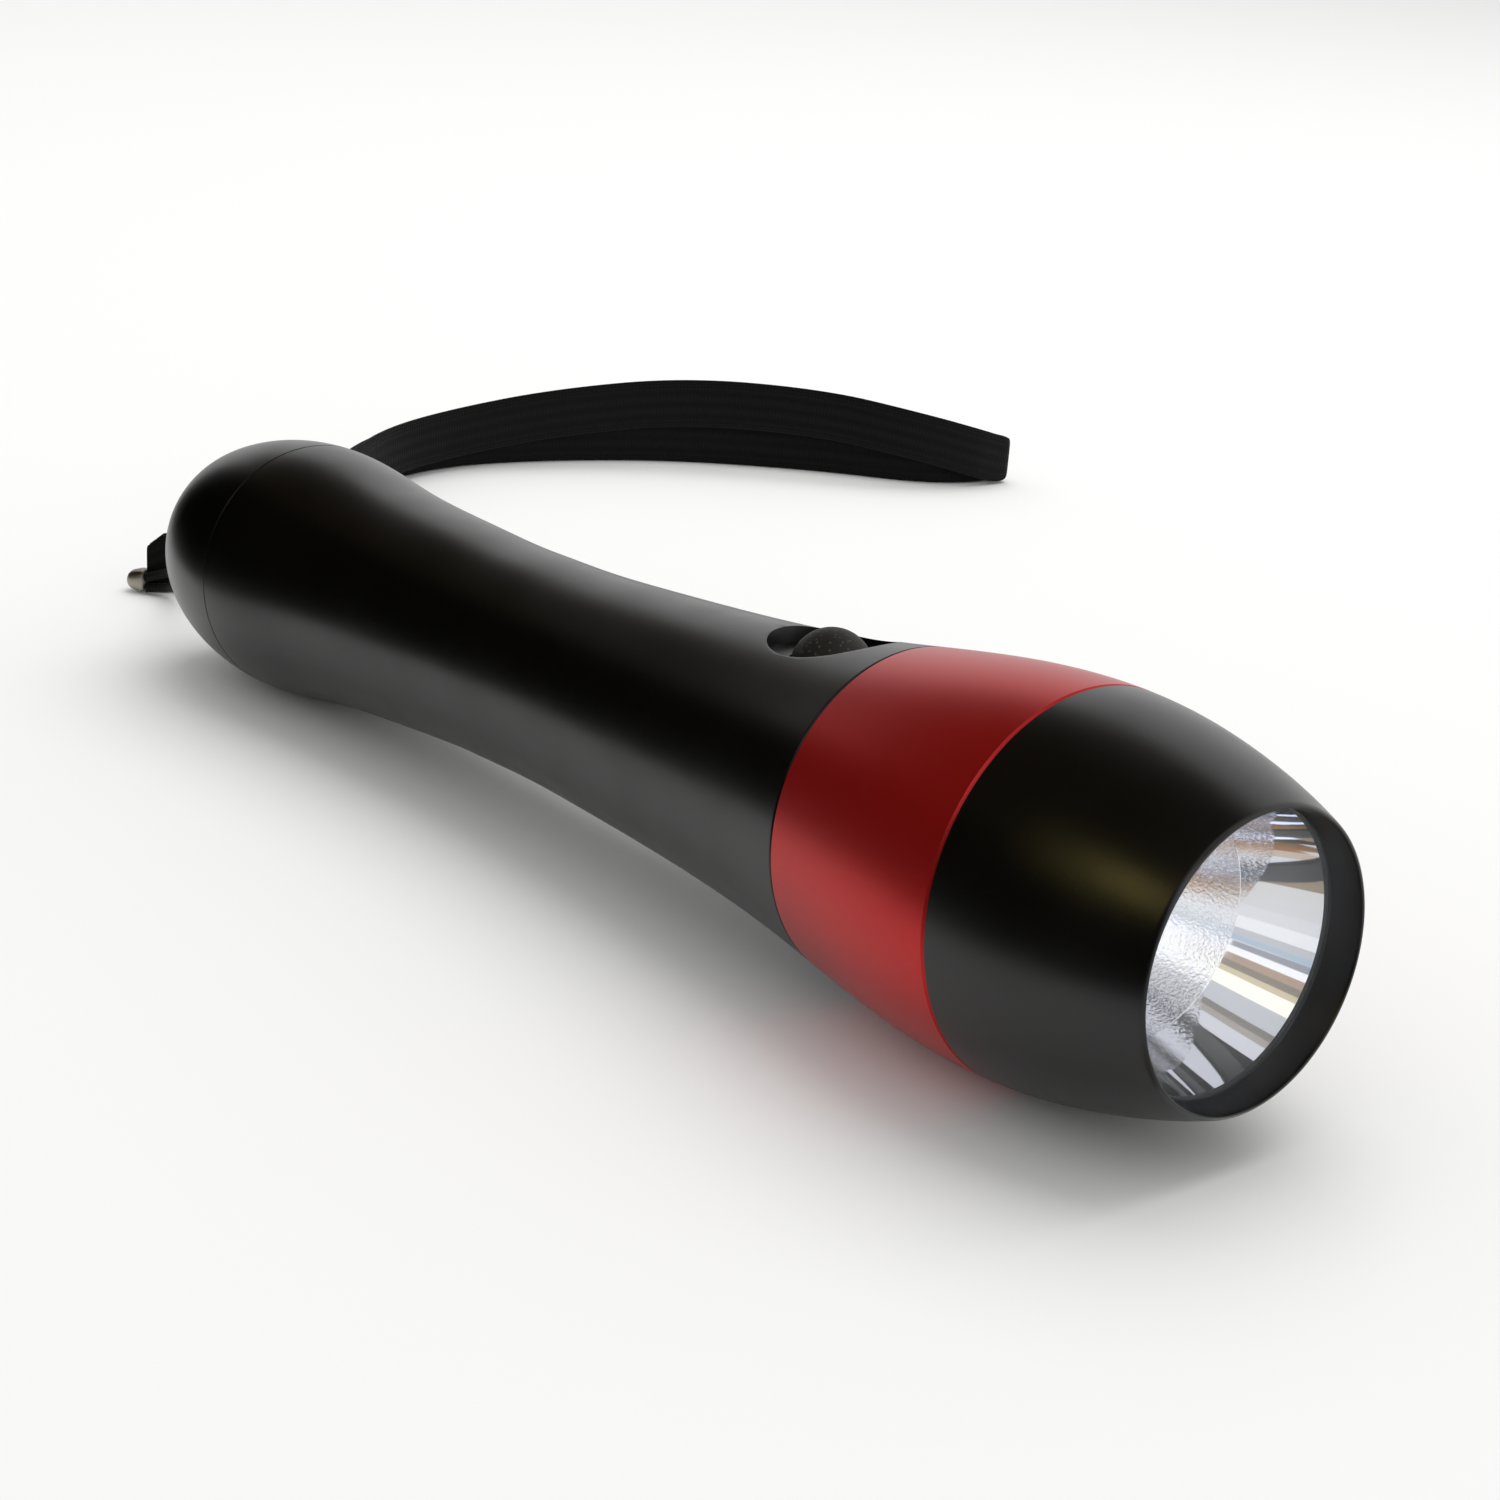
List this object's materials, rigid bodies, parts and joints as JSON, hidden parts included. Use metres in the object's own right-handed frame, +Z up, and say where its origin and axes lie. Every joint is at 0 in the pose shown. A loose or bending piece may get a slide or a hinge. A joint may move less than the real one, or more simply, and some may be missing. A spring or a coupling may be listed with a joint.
{
  "type": "led flashlight",
  "caption": "Turned aluminium flashlight with a waisted barrel, red ring, top push button, deep reflector, screw tail cap and webbing wrist strap.",
  "frame": {"origin": "on the table, under the centre of the torch's bounding box without its strap", "axes": "+X from the tail towards the light, +Y to the torch's left, +Z up through the push button"},
  "size_m": [0.2535, 0.1912, 0.0414],
  "materials": {
    "black_anodised": "bead-blasted, black anodised",
    "red_anodised": "bead-blasted, red anodised",
    "button_rubber": "matt moulded silicone",
    "seal_rubber": "smooth black nitrile",
    "strap_web": "black woven polyamide",
    "strap_cord_black": "black braided polyamide",
    "crimp_metal": "satin nickel plate",
    "pin_steel": "plain steel",
    "reflector_chrome": "vacuum-metallised, fine orange peel",
    "lens_clear": "clear polycarbonate",
    "spring_steel": "nickel-plated wire",
    "contact_brass": "stamped brass",
    "carrier_plastic": "moulded black",
    "cell_jacket": "plain lacquered steel can",
    "switch_plastic": "moulded, natural",
    "board_green": "solder mask",
    "driver_black": "moulded parts",
    "star_white": "white solder mask on aluminium",
    "led_ceramic": "white ceramic",
    "led_yellow": "phosphor",
    "led_silicone": "clear silicone",
    "ring_white": "moulded white",
    "pill_metal": "turned, bare",
    "lead_red": "insulated wire"
  },
  "bodies": {
    "torch": {"barrel": "black_anodised", "accent_ring": "red_anodised", "reflector": "reflector_chrome", "led_package": "led_ceramic", "led_phosphor": "led_yellow", "led_dome": "led_silicone", "led_star": "star_white", "centring_ring": "ring_white", "led_pill": "pill_metal", "driver_board": "board_green", "driver_parts": "driver_black", "driver_contact": "contact_brass", "led_leads": "lead_red", "front_spring": "spring_steel", "switch_frame": "carrier_plastic", "switch_board": "board_green", "switch_housing": "switch_plastic", "switch_spring": "spring_steel", "switch_boot": "button_rubber", "switch_rear_strip": "contact_brass", "switch_front_strip": "contact_brass"},
    "tail_seal": {"tail_o_ring": "seal_rubber"},
    "tail": {"tail_cap": "black_anodised", "strap_pin": "pin_steel", "tail_contact": "contact_brass", "tail_spring": "spring_steel", "strap_cord": "strap_cord_black", "strap_crimp": "crimp_metal", "strap_webbing": "strap_web"},
    "carrier": {"battery_1": "cell_jacket", "battery_2": "cell_jacket", "battery_3": "cell_jacket", "carrier_rear_disc": "carrier_plastic", "carrier_front_disc": "carrier_plastic", "carrier_spine": "carrier_plastic", "cell_plate_rear": "contact_brass", "cell_plate_front": "contact_brass", "cell_spring_1": "spring_steel", "cell_spring_2": "spring_steel", "cell_spring_3": "spring_steel", "carrier_rear_contact": "contact_brass", "carrier_nub": "contact_brass"},
    "bezel_seal": {"bezel_o_ring": "seal_rubber"},
    "bezel_group": {"bezel": "black_anodised", "lens": "lens_clear", "lens_gasket": "seal_rubber"},
    "switch_button": {"switch_plunger": "switch_plastic"}
  },
  "joints": [
    {"name": "tail_cap_pull", "type": "slide", "parent": "torch", "child": "tail_seal", "axis": [-0.9995, 0, -0.0316], "range_m": [0, 0.13]},
    {"name": "tail_cap_unscrew", "type": "hinge", "parent": "tail_seal", "child": "tail", "pos_m": [-0.07061, 0, 0.01636], "axis": [-0.9995, 0, -0.0316], "range_deg": [0, 1440]},
    {"name": "carrier_slide", "type": "slide", "parent": "torch", "child": "carrier", "axis": [-0.9995, 0, -0.0316], "range_m": [0, 0.065]},
    {"name": "bezel_pull", "type": "slide", "parent": "torch", "child": "bezel_seal", "axis": [0.9995, 0, 0.0316], "range_m": [0, 0.03]},
    {"name": "bezel_unscrew", "type": "hinge", "parent": "bezel_seal", "child": "bezel_group", "pos_m": [0.07732, 0, 0.02104], "axis": [0.9995, 0, 0.0316], "range_deg": [0, 1800]},
    {"name": "switch_press", "type": "slide", "parent": "torch", "child": "switch_button", "axis": [0.0316, 0, -0.9995], "range_m": [0, 0.0012], "stiffness_N_per_m": 2000, "springref_m": -0.0004, "deforming": ["switch_boot", "switch_spring"]}
  ],
  "couplings": [
    {"joint": "carrier_slide", "follows": "tail_cap_pull", "ratio": 0.5}
  ]
}
